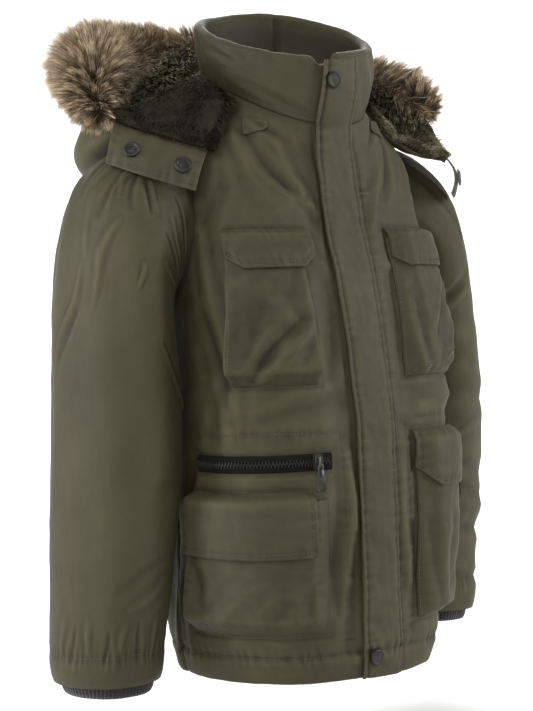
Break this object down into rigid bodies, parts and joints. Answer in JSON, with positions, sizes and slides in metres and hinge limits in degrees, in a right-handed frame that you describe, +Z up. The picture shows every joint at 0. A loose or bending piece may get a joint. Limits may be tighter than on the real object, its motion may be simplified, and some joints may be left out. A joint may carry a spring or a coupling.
{
  "type": "fur trimmed parka",
  "caption": "Child's hooded parka filled out as if worn, closed at the front, with bellows pockets, ribbed cuffs, a plush-lined hood laid back and a fur trim.",
  "frame": {"origin": "centre of the neck base, where the collar is sewn to the body", "axes": "+Z up the wearer, -Y to the front, -X to the wearer's right"},
  "size_m": [0.4736, 0.336, 0.6268],
  "materials": {
    "shell_cloth": "matt, close-woven olive",
    "plush": "short dark pile",
    "fur": "long imitation fur, grey-brown tipped fawn",
    "black_rib": "ribbed knit",
    "black_zip": "moulded teeth on woven tape",
    "gunmetal": "dark gunmetal"
  },
  "bodies": {
    "garment": {"back": "shell_cloth", "chest_bag_left": "shell_cloth", "chest_bag_right": "shell_cloth", "chest_flap_left": "shell_cloth", "chest_flap_right": "shell_cloth", "collar": "shell_cloth", "cuff_left": "black_rib", "cuff_right": "black_rib", "front_left": "shell_cloth", "front_right": "shell_cloth", "fur_trim": "fur", "hood_lining": "plush", "hood_shell": "shell_cloth", "hood_tab_left": "shell_cloth", "hood_tab_right": "shell_cloth", "leaf_tab_left": "shell_cloth", "leaf_tab_right": "shell_cloth", "lower_bag_left": "shell_cloth", "lower_bag_right": "shell_cloth", "lower_flap_left": "shell_cloth", "lower_flap_right": "shell_cloth", "placket": "shell_cloth", "sleeve_left": "shell_cloth", "sleeve_right": "shell_cloth", "snap_collar": "gunmetal", "snap_hem": "gunmetal", "snap_tab_left_1": "gunmetal", "snap_tab_left_2": "gunmetal", "snap_tab_right_1": "gunmetal", "snap_tab_right_2": "gunmetal", "zip_left": "black_zip", "zip_right": "black_zip", "zip_slider": "gunmetal"},
    "zip_pull": {"zip_pull": "gunmetal"}
  },
  "joints": [
    {"name": "zip_pull_hinge", "type": "hinge", "parent": "garment", "child": "zip_pull", "pos_m": [-0.0675, -0.1232, -0.33675], "axis": [-0.9845, 0.1751, 0], "range_deg": [0, 150]}
  ]
}
